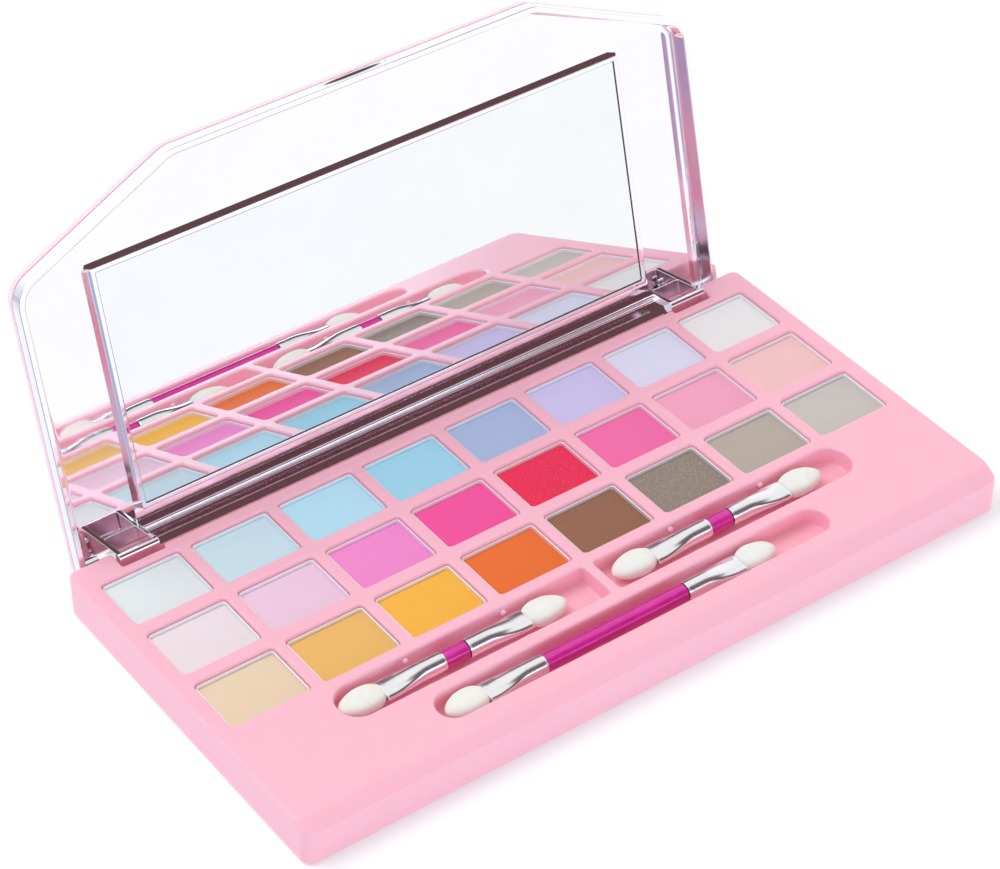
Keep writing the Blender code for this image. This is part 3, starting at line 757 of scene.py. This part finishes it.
def lug_body(x0, x1):
    """Outside of one lug, with softened ends."""
    buried = FLOOR_Z + BURIED
    profile = arc(LUG_FRONT, (LUG_FRONT_R, LUG_FRONT_R), 180, 270, 8)
    profile += arc(LUG_REAR, (LUG_REAR_R, LUG_REAR_R), 270, 360, 8)
    profile += [(HINGE_BACK, BACK_TOP), (INSIDE_Y, BACK_TOP), (INSIDE_Y, buried),
                (LUG_MOUTH_Y, buried)]
    ends = [(x0 + d, shrink) for d, shrink in LUG_ENDS]
    ends += [(x1 - d, shrink) for d, shrink in reversed(LUG_ENDS)]
    lug = bmesh.new()
    loft(lug, [[(x, y + (0.3 * shrink if y < LUG_MIDDLE.x else -0.3 * shrink),
                 z + (shrink if z < LUG_MIDDLE.y else 0.0)) for y, z in profile]
               for x, shrink in ends])
    return lug


def lug_pocket(x0, x1):
    """Cutter for the inside of one lug, which is open when the lid stands open."""
    inner = rect(x0 + LUG_WALL, x1 - LUG_WALL, *LUG_POCKET_Z)
    stack = [(LUG_MOUTH_Y - 1.5, LUG_LIP), (LUG_MOUTH_Y, LUG_LIP)]
    stack += [(LUG_MOUTH_Y + drop, -inset) for inset, drop in edge_steps(LUG_LIP_EDGE, 4)[1:]]
    stack += LUG_POCKET_END
    pocket = bmesh.new()
    loft(pocket, [[(x, y, z) for x, z in outline(inner, [LUG_POCKET_R] * 4, inset, 4)]
                  for y, inset in stack])
    return pocket


def liner_finish(face):
    """Which chrome a face takes: 0 bright, 1 hinge wall chrome with grain and a painted pink
    reflection, 2 chrome with painted shade in the lugs and on the side rims' inner walls.
    """
    c = face.calc_center_median()
    out = abs(c.x)
    if out < LUG_X0 and GUTTER_Y < c.y < LID_REAR + 0.1 and c.z < FLOOR_Z + 0.1:
        return 1
    if LUG_X0 + 0.8 < out < LUG_X1 - 0.8 and -2.75 < c.y < 1.4:
        return 2
    if LID_HX - RIM_WALL - 0.3 < out < LID_HX - 0.5 and abs(face.normal.x) > 0.9 and \
            RIM_Z + 0.2 < c.z < FLOOR_Z:
        return 2
    return 0


def make_liner(chrome, grain_and_pink_reflection, shaded):
    """Metallised inner frame: rim, floor, bezel, scoop, hinge wall and two open lugs."""
    bm = bmesh.new()
    floor_edge = liner_tray(bm)
    fill(bm, floor_edge, [liner_bezel(bm)])
    bm = combined(bm, thumb_scoop(), "DIFFERENCE")
    bm = combined(bm, hinge_wall(), "UNION")
    for x0, x1 in ((-LUG_X1, -LUG_X0), (LUG_X0, LUG_X1)):
        bm = combined(bm, lug_body(x0, x1), "UNION")
        bm = combined(bm, lug_pocket(x0, x1), "DIFFERENCE")
    for face in bm.faces:
        face.material_index = liner_finish(face)
    finish("lid_liner", bm, [chrome, grain_and_pink_reflection, shaded], "lid", LID)


def make_mirror(glass, rim):
    """Mirror with a ground edge, set in the bezel."""
    bm = bmesh.new()
    points = rect(-MIRROR_HX, MIRROR_HX, MIRROR_Y - MIRROR_HY, MIRROR_Y + MIRROR_HY)
    rings = [(MIRROR_Z, 0.14), (MIRROR_Z + 0.03, 0.05), (MIRROR_Z + 0.1, 0.0),
             (MIRROR_Z + MIRROR_T, 0.0)]
    loops = loft(bm, [at(outline(points, [MIRROR_R] * 4, inset, 3), z) for z, inset in rings])
    front = set(loops[0])
    for face in bm.faces:
        face.material_index = 0 if set(face.verts) <= front else 1
    finish("mirror", bm, [glass, rim], "lid", LID, sharp=10)


def make_pin(node, steel):
    """Hinge pin with chamfered ends."""
    low, high = size_of(node)
    y, z, r = (low.y + high.y) / 2, (low.z + high.z) / 2, (high.y - low.y) / 2
    bm = bmesh.new()
    stations = [(low.x, r - 0.2), (low.x + 0.2, r), (high.x - 0.2, r), (high.x, r - 0.2)]
    lathe(bm, stations, (0.0, y, z), 24)
    finish(node, bm, [steel], "base")


# ---------------------------------------------------------------- applicators

def smooth(t):
    """Eased step from 0 to 1."""
    t = min(max(t, 0.0), 1.0)
    return t * t * (3 - 2 * t)


def ferrule_section(t, shrink):
    """Points across a ferrule at a share t of its length, round at 0 and pressed flat at 1."""
    s = smooth((t - 0.3) / 0.6)
    ry = FERRULE_R + (FERRULE_END_Y - FERRULE_R) * s - shrink
    rz = FERRULE_R + (FERRULE_END_Z - FERRULE_R) * s - shrink
    lip = FERRULE_LIP * smooth(1 - t / 0.035) + FERRULE_MOUTH * smooth((t - 0.97) / 0.03)
    pinch = FERRULE_PINCH * smooth((t - 0.35) / 0.3) * (1 - 0.6 * smooth((t - 0.75) / 0.25))
    out = []
    for a in turns(48):
        c, n = math.cos(a), math.sin(a)
        square = 1 + 0.05 * s * math.sin(2 * a) ** 2
        crease = pinch * math.exp(-((abs(c) - 0.70 + 0.45 * (t - 0.5)) / 0.13) ** 2)
        out.append((c * (ry * square - lip), n * (rz * square * (1 - crease) - lip * 0.8)))
    return out


def make_handle(key, half, magenta):
    """Handle with a spigot at each end; gives its centre."""
    node = "handle_" + key
    low, high = size_of(node)
    centre, reach = (low + high) / 2, (high.x - low.x) / 2
    ends = [(-reach, SPIGOT_END_R), (-reach + 0.3, SPIGOT_R), (-half - 0.02, SPIGOT_R),
            (-half, HANDLE_R - 0.15), (-half + 0.05, HANDLE_R - 0.07),
            (-half + 0.14, HANDLE_R - 0.02), (-half + HANDLE_EDGE, HANDLE_R)]
    bm = bmesh.new()
    lathe(bm, ends + [(-x, r) for x, r in reversed(ends)], centre, 40)
    finish(node, bm, [magenta], "applicator_" + key)
    return centre


def make_ferrule(key, word, side, centre, x0, x1, silver):
    """Thin tube, open at both ends and pressed flat towards the tip."""
    cuts = [0.0, 0.012, 0.03, 0.045] + [0.045 + 0.925 * k / 26 for k in range(1, 27)]
    cuts += [0.985, 1.0]
    rings = []
    for shrink, order in ((0.0, cuts), (FERRULE_T, cuts[::-1])):
        for t in order:
            x = centre.x + side * (x0 + (x1 - x0) * t)
            rings.append([(x, centre.y + y, centre.z + z) for y, z in ferrule_section(t, shrink)])
    bm = bmesh.new()
    loops = rings_of(bm, rings)
    skin(bm, [loops[-1], loops[0]])
    node = "ferrule_%s_%s" % (key, word)
    finish(node, bm, [silver], "applicator_" + key, sharp=60)


def tip_width(t):
    """Share of a tip's full width at a share t of its length."""
    if t < TIP_WIDEST:
        return 1 - TIP_NECK * (1 - t / TIP_WIDEST) ** 2.4
    return max(max(1 - ((t - TIP_WIDEST) / (1 - TIP_WIDEST)) ** 2.1, 0.0) ** 0.60, TIP_BLUNT)


def make_tip(key, word, side, centre, start, stop, foam):
    """Foam tip, slightly uneven, on a flat stem that goes into the ferrule."""
    rings = [(start + x, hy, hz) for x, hy, hz in STEM]
    for k in range(25):
        t = 0.5 * (1 - math.cos(math.pi * k / 24))
        width = tip_width(t)
        rings.append((start + (stop - start) * t, TIP_HY * width, TIP_HZ * width))
    bm = bmesh.new()
    loft(bm, [[(centre.x + side * x, centre.y + hy * math.cos(a), centre.z + hz * math.sin(a))
               for a in turns(40)] for x, hy, hz in rings])
    for v in bm.verts:
        p = v.co - centre
        if abs(p.x) > start:
            soft = noise.noise(p * 0.55 + Vector((centre.x, 0, 3.0 * side)))
            v.co.z = centre.z + p.z * (1 + 0.05 * soft)
            v.co.y = centre.y + p.y * (1 + 0.02 * soft)
    node = "sponge_%s_%s" % (key, word)
    tip = finish(node, bm, [foam], "applicator_" + key, sharp=70)


def make_applicator(key, lengths, magenta, silver, foam):
    """Handle, two pressed ferrules and two foam tips on one axis."""
    handle_l, ferrule_l, tip_l = lengths
    half = handle_l / 2
    centre = make_handle(key, half, magenta)
    for side, word in ((-1, "left"), (1, "right")):
        end = half + ferrule_l
        make_ferrule(key, word, side, centre, half + FERRULE_GAP, end, silver)
        make_tip(key, word, side, centre, end + TIP_GAP, end + tip_l, foam)


# ---------------------------------------------------------------- materials

def material(name, **constants):
    """A Principled material with constants on its own sockets."""
    mat = bpy.data.materials.new("palette_" + name)
    mat.use_nodes = True
    shader = mat.node_tree.nodes["Principled BSDF"]
    for key, value in constants.items():
        socket = shader.inputs[key.replace("_", " ")]
        socket.default_value = (*value, 1.0) if isinstance(value, tuple) and len(value) == 3 \
            and socket.type == "RGBA" else value
    return mat, shader


def add_node(mat, kind, props=None, **inputs):
    """Add a shader node, with settings, and values or links for its inputs."""
    made = mat.node_tree.nodes.new("ShaderNode" + kind)
    for key, value in (props or {}).items():
        setattr(made, key, value)
    for key, value in inputs.items():
        socket = made.inputs[key.replace("_", " ")]
        if isinstance(value, bpy.types.NodeSocket):
            mat.node_tree.links.new(value, socket)
        else:
            socket.default_value = value
    return made


def coords(mat, scale=None):
    """Coordinates that stay on the piece, stretched if asked."""
    place = add_node(mat, "TexCoord").outputs["Object"]
    if scale:
        place = add_node(mat, "Mapping", Vector=place, Scale=scale).outputs["Vector"]
    return place


def grain(mat, place, millimetres, detail=3.0, rough=0.5, distortion=0.0):
    """Noise with features of about that size."""
    return add_node(mat, "TexNoise", Vector=place, Scale=1000.0 / millimetres, Detail=detail,
                    Roughness=rough, Distortion=distortion).outputs[0]


def remap(mat, value, low, high, out_low=0.0, out_high=1.0, **props):
    """A value stretched from one range to another, and held at its ends."""
    made = add_node(mat, "MapRange", props, Value=value)
    for key, v in (("From Min", low), ("From Max", high), ("To Min", out_low), ("To Max", out_high)):
        made.inputs[key].default_value = v
    return made.outputs[0]


def mixed(mat, factor, a, b, mode="MIX"):
    """Mix two colours, each a triple or a socket."""
    made = mat.node_tree.nodes.new("ShaderNodeMix")
    made.data_type = "RGBA"
    made.blend_type = mode
    links = mat.node_tree.links
    for socket, value in ((made.inputs[0], factor), (made.inputs[6], a), (made.inputs[7], b)):
        if isinstance(value, bpy.types.NodeSocket):
            links.new(value, socket)
        elif isinstance(value, tuple):
            socket.default_value = (*value, 1.0)
        else:
            socket.default_value = value
    return made.outputs[2]


def product(mat, a, b):
    """Two values multiplied."""
    made = add_node(mat, "Math", {"operation": "MULTIPLY"})
    mat.node_tree.links.new(a, made.inputs[0])
    mat.node_tree.links.new(b, made.inputs[1])
    return made.outputs[0]


def bump(mat, height, micrometres, below=None):
    """A normal from a height map of that depth."""
    made = add_node(mat, "Bump", Strength=1.0, Distance=micrometres * 1e-6, Height=height)
    if below is not None:
        mat.node_tree.links.new(below, made.inputs["Normal"])
    return made.outputs[0]


def link(mat, output, shader, socket):
    """Lead an output into one of the shader's inputs."""
    mat.node_tree.links.new(output, shader.inputs[socket])


def tone(color, factor):
    """A colour made lighter or darker."""
    return tuple(min(c * factor, 1.0) for c in color)


def moulded(name, color, deep, roughness, glow):
    """Glossy moulded plastic that lets light through: faint flow marks, a soft orange peel, and a
    faint red painted glow that lightens its shade.
    """
    # painted glow: a faint red emission stands in for light carried through the plastic into its
    # shaded wells and hollows
    mat, shader = material(name, IOR=1.47, Subsurface_Weight=glow, Subsurface_Scale=0.0011,
                           Emission_Color=(1.0, 0.12, 0.2), Emission_Strength=0.07,
                           Subsurface_Radius=(1.0, 0.28, 0.36))
    place = coords(mat)
    clouds = grain(mat, place, 30.0, 2.0, 0.5)
    link(mat, mixed(mat, remap(mat, clouds, 0.1, 0.9), color, deep), shader, "Base Color")
    wide = grain(mat, place, 14.0, 2.0, 0.5)
    link(mat, remap(mat, wide, 0.1, 0.9, roughness - 0.03, roughness + 0.04), shader, "Roughness")
    peel = bump(mat, grain(mat, place, 2.2, 1.0, 0.5), 1.2)
    link(mat, bump(mat, grain(mat, place, 0.12, 2.0, 0.6), 0.5, peel), shader, "Normal")
    return mat


def chromed(name, size, depth, pale, deep, haze=0.03):
    """Vacuum-metallised plastic: bright, faintly tinted, wavy, with a grain of that size and depth."""
    mat, shader = material(name, Metallic=1.0)
    place = coords(mat)
    tint = remap(mat, grain(mat, place, 22.0, 2.0, 0.5), 0.35, 0.65)
    link(mat, mixed(mat, tint, pale, deep), shader, "Base Color")
    mist = remap(mat, grain(mat, place, 0.5, 3.0, 0.6), 0.5, 0.8, haze, haze + 0.06)
    link(mat, mist, shader, "Roughness")
    waves = bump(mat, grain(mat, place, 9.0, 1.0, 0.4), 14.0)
    link(mat, bump(mat, grain(mat, place, size, 2.0, 0.6), depth, waves), shader, "Normal")
    return mat


def mirrored():
    """Silvered glass with a trace of haze."""
    mat, shader = material("mirror_glass", Metallic=1.0)
    place = coords(mat)
    haze = grain(mat, place, 14.0, 4.0, 0.6)
    link(mat, mixed(mat, remap(mat, haze, 0.4, 0.7), *SILVERED_GLASS), shader, "Base Color")
    link(mat, remap(mat, haze, 0.45, 0.8, 0.0, 0.012), shader, "Roughness")
    return mat


def glass_edge():
    """Ground edge of the mirror, dark where the silvering ends."""
    mat, shader = material("glass_edge", IOR=1.5)
    place = coords(mat)
    link(mat, mixed(mat, grain(mat, place, 1.2, 3.0, 0.6), *GROUND_GLASS), shader, "Base Color")
    link(mat, remap(mat, grain(mat, place, 0.4), 0.3, 0.7, 0.15, 0.4), shader, "Roughness")
    return mat


def metal(name, color, dark, roughness, stretch, shine=1.0):
    """Drawn or polished metal with fine lines along one direction."""
    mat, shader = material(name, Metallic=shine)
    lines = grain(mat, coords(mat, stretch), 0.1, 3.0, 0.6)
    link(mat, mixed(mat, remap(mat, lines, 0.35, 0.7), color, dark), shader, "Base Color")
    link(mat, remap(mat, lines, 0.3, 0.75, roughness, roughness + 0.08), shader, "Roughness")
    soft = bump(mat, grain(mat, coords(mat), 3.0, 1.0, 0.5), 3.0)
    link(mat, bump(mat, lines, 0.15, soft), shader, "Normal")
    return mat


def magenta_plastic():
    """Translucent-looking glossy handle plastic with pearly streaks."""
    mat, shader = material("magenta_plastic", IOR=1.5, Coat_Weight=0.5, Coat_Roughness=0.05)
    place = coords(mat, (0.25, 1.0, 1.0))
    streak = grain(mat, place, 1.1, 4.0, 0.6, 0.6)
    link(mat, mixed(mat, remap(mat, streak, 0.35, 0.7), *MAGENTA), shader, "Base Color")
    link(mat, remap(mat, grain(mat, place, 0.6), 0.4, 0.75, 0.10, 0.26), shader, "Roughness")
    link(mat, bump(mat, grain(mat, place, 1.5, 2.0), 3.0), shader, "Normal")
    return mat


def foam_sponge():
    """Fine off-white latex foam with open pores, darkened in their pits by painted shade."""
    mat, shader = material("foam", Subsurface_Weight=0.35, Subsurface_Scale=0.0012,
                           Subsurface_Radius=(1.0, 0.8, 0.6), Sheen_Weight=0.15,
                           Sheen_Roughness=0.5)
    place = coords(mat)
    pores = add_node(mat, "TexVoronoi", {"feature": "F1"}, Vector=place, Scale=1000.0 / 0.16)
    depth = remap(mat, pores.outputs["Distance"], 0.0, 0.55)
    clouds = remap(mat, grain(mat, place, 2.5, 3.0, 0.6), 0.3, 0.7)
    # painted shade: the pits of the pores are darker, mixed by the same depth as their bump
    link(mat, mixed(mat, depth, FOAM_PORE_SHADE, mixed(mat, clouds, *FOAM)), shader, "Base Color")
    link(mat, remap(mat, depth, 0.0, 1.0, 0.95, 0.8), shader, "Roughness")
    soft = bump(mat, grain(mat, place, 0.7, 3.0, 0.6), 25.0)
    link(mat, bump(mat, depth, 22.0, soft), shader, "Normal")
    return mat


def powder(name, color, shimmer, fleck):
    """Pressed powder: fine grain, faint clouds, and flecks of mica where it shimmers."""
    mat, shader = material("powder_" + name, Sheen_Weight=0.06, Sheen_Roughness=0.6)
    place = coords(mat)
    clouds = remap(mat, grain(mat, place, 9.0, 3.0, 0.5), 0.2, 0.8)
    grains = remap(mat, grain(mat, place, 0.22, 3.0, 0.7), 0.3, 0.7)
    body = mixed(mat, clouds, tone(color, 0.985), tone(color, 1.015))
    body = mixed(mat, grains, mixed(mat, 1.0, body, (0.955, 0.95, 0.95), "MULTIPLY"), body)
    cells = add_node(mat, "TexVoronoi", {"feature": "F1"}, Vector=place, Scale=1000.0 / fleck)
    pick = add_node(mat, "SeparateColor", Color=cells.outputs["Color"])
    chance = remap(mat, pick.outputs[0], 1.0 - 0.22 * shimmer, 1.0 - 0.16 * shimmer)
    near = remap(mat, cells.outputs["Distance"], 0.25, 0.45, 1.0, 0.0)
    spark = product(mat, chance, near)
    light = tuple(c + (1.0 - c) * 0.55 for c in color)
    link(mat, mixed(mat, spark, body, light), shader, "Base Color")
    link(mat, remap(mat, spark, 0.0, 1.0, 0.72 - 0.2 * shimmer, 0.32), shader, "Roughness")
    link(mat, remap(mat, spark, 0.0, 1.0, 0.12 * shimmer, 0.7), shader, "Metallic")
    soft = bump(mat, grain(mat, place, 3.5, 1.0, 0.5), 4.0)
    link(mat, bump(mat, grains, 3.0, soft), shader, "Normal")
    return mat


# ---------------------------------------------------------------- surroundings

def make_stage():
    """Plain pale floor."""
    bm = bmesh.new()
    bmesh.ops.create_grid(bm, x_segments=2, y_segments=2, size=FLOOR_SIZE)
    mesh = bpy.data.meshes.new("floor")
    bm.to_mesh(mesh)
    bm.free()
    floor = bpy.data.objects.new("floor", mesh)
    floor.location.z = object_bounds()[0][2] - FLOOR_DROP
    bpy.context.scene.collection.objects.link(floor)
    mat, shader = material("floor", Roughness=0.9, Specular_IOR_Level=0.1,
                           Emission_Color=(1.0, 1.0, 1.0), Emission_Strength=0.2)
    link(mat, mixed(mat, grain(mat, coords(mat), 400.0, 2.0), *STUDIO_FLOOR), shader, "Base Color")
    mesh.materials.append(mat)
    floor.visible_glossy = False


def make_world():
    """Soft white surroundings with the broad patches of tint and shade listed in SKY_PATCHES."""
    world = bpy.data.worlds.new("studio")
    bpy.context.scene.world = world
    world.use_nodes = True
    place = add_node(world, "TexCoord").outputs["Generated"]
    sky = SKY
    for direction, full, gone, color in SKY_PATCHES:
        dot = add_node(world, "VectorMath", {"operation": "DOT_PRODUCT"})
        world.node_tree.links.new(place, dot.inputs[0])
        dot.inputs[1].default_value = Vector(direction).normalized()
        near = remap(world, dot.outputs["Value"], math.cos(math.radians(gone)),
                     math.cos(math.radians(full)), interpolation_type="SMOOTHSTEP")
        sky = mixed(world, near, sky, color)
    background = world.node_tree.nodes["Background"]
    world.node_tree.links.new(sky, background.inputs["Color"])
    background.inputs["Strength"].default_value = 1.0


def make_lamp(name, location, target, size, watts, color):
    """Rectangular soft light aimed at a point."""
    data = bpy.data.lights.new(name, "AREA")
    data.shape = "RECTANGLE"
    data.size, data.size_y = size
    data.energy = watts
    data.color = color
    lamp = bpy.data.objects.new(name, data)
    lamp.location = location
    aim = Vector(target) - Vector(location)
    lamp.rotation_euler = aim.to_track_quat("-Z", "Y").to_euler()
    bpy.context.scene.collection.objects.link(lamp)


def make_camera():
    """Camera that looks down at the palette from the front left."""
    data = bpy.data.cameras.new("camera")
    data.sensor_width = SENSOR_MM
    data.lens = LENS_MM
    camera = bpy.data.objects.new("camera", data)
    heading, tilt, roll = (Matrix.Rotation(math.radians(angle), 4, axis) for angle, axis in (
        (CAMERA_HEADING, "Z"), (90 - CAMERA_DOWN, "X"), (CAMERA_ROLL, "Z")))
    camera.matrix_world = Matrix.Translation(CAMERA_PLACE) @ heading @ tilt @ roll
    bpy.context.scene.collection.objects.link(camera)
    bpy.context.scene.camera = camera


def build():
    """Every piece of the palette, then its surroundings."""
    bpy.context.scene.view_settings.view_transform = "Standard"
    pink = moulded("pink_plastic", *PINK, 0.32, 0.5)
    lid_pink = moulded("lid_pink", *LID_PINK, 0.14, 0.3)
    chrome = chromed("chrome", 0.8, 1.0, *CHROME)
    make_casing(pink)
    make_plate(pink)
    tin = metal("pan_metal", *TIN, 0.32, (1.0, 1.0, 0.3), shine=0.45)
    names = list(POWDERS)
    per_row = len(names) // len(ROW_WORDS)
    for row, word in enumerate(ROW_WORDS):
        make_strip(word, names[row * per_row:(row + 1) * per_row], tin)
    for seed, (name, spec) in enumerate(POWDERS.items()):
        make_powder(name, powder(name, *spec), seed)
    make_cover(lid_pink)
    # the hinge wall's chrome carries a painted pink reflection, and the lugs' and side rims' chrome a
    # painted shade
    make_liner(chrome, chromed("chrome_grained_pink_reflection", 0.25, 9.0, *CHROME_GRAINED_PINK_REFLECTION),
               chromed("chrome_painted_shade", 0.8, 2.0, *CHROME_PAINTED_SHADE, haze=0.2))
    make_mirror(mirrored(), glass_edge())
    steel = metal("steel", *STEEL, 0.2, (0.2, 1.0, 1.0))
    for word in ("left", "right"):
        make_pin("hinge_pin_" + word, steel)
    silver = metal("ferrule", *SILVER, 0.20, (0.12, 1.0, 1.0))
    magenta, foam = magenta_plastic(), foam_sponge()
    for key, lengths in APPLICATORS.items():
        make_applicator(key, lengths, magenta, silver, foam)
    make_stage()
    make_world()
    for lamp in LAMPS:
        make_lamp(*lamp)
    make_camera()


build()
